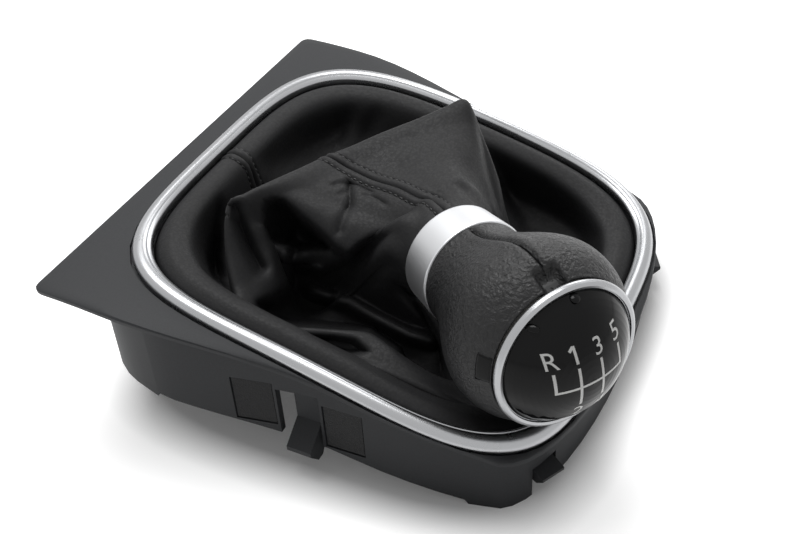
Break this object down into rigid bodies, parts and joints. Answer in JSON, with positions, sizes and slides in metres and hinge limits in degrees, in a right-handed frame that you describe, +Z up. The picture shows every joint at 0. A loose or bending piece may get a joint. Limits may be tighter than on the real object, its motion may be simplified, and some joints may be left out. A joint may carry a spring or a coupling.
{
  "type": "gear shift knob",
  "caption": "Leather-covered gear shift knob with a domed pattern cap and bright rings, on its pleated leather gaiter and clip-in sloped surround",
  "frame": {"origin": "on the plane of the skirt's rear feet, straight under the centre of the bright ring", "axes": "+Y to the front of the car along the surround, +Z up out of the console, +X to the right; the knob lies to the rear left as in the picture"},
  "size_m": [0.161, 0.1657, 0.0758],
  "materials": {
    "panel_plastic": "fine spark-eroded grain, matte dark grey",
    "felt": "self-adhesive needle felt",
    "satin_chrome": "satin chrome",
    "frame_plastic": "plain black moulding",
    "gaiter_leather": "soft black leather, fine pebble grain",
    "knob_leather": "black leather drawn over foam, satin",
    "bush_metal": "turned",
    "band_steel": "stainless band",
    "foam": "closed-cell foam",
    "cap_gloss": "polished black with a white shift pattern"
  },
  "bodies": {
    "surround": {"surround_panel": "panel_plastic", "felt_pad_left_front": "felt", "felt_pad_left_rear": "felt", "felt_pad_right_front": "felt", "felt_pad_right_rear": "felt", "trim_ring": "satin_chrome", "gaiter_frame": "frame_plastic", "gaiter_left": "gaiter_leather", "gaiter_right": "gaiter_leather"},
    "knob": {"neck_ring": "frame_plastic", "collar": "satin_chrome", "knob_core": "frame_plastic", "lever_bush": "bush_metal", "lever_clamp": "band_steel", "knob_padding": "foam", "knob_cover_left": "knob_leather", "knob_cover_right": "knob_leather", "cap_ring": "satin_chrome", "cap_carrier": "frame_plastic", "pattern_cap": "cap_gloss"}
  },
  "joints": [
    {"name": "knob_swing", "type": "hinge", "parent": "surround", "child": "knob", "pos_m": [0, 0, 0.043], "axis": [-0.8215, 0.5702, 0], "range_deg": [0, 96], "deforming": ["gaiter_left", "gaiter_right"]}
  ]
}
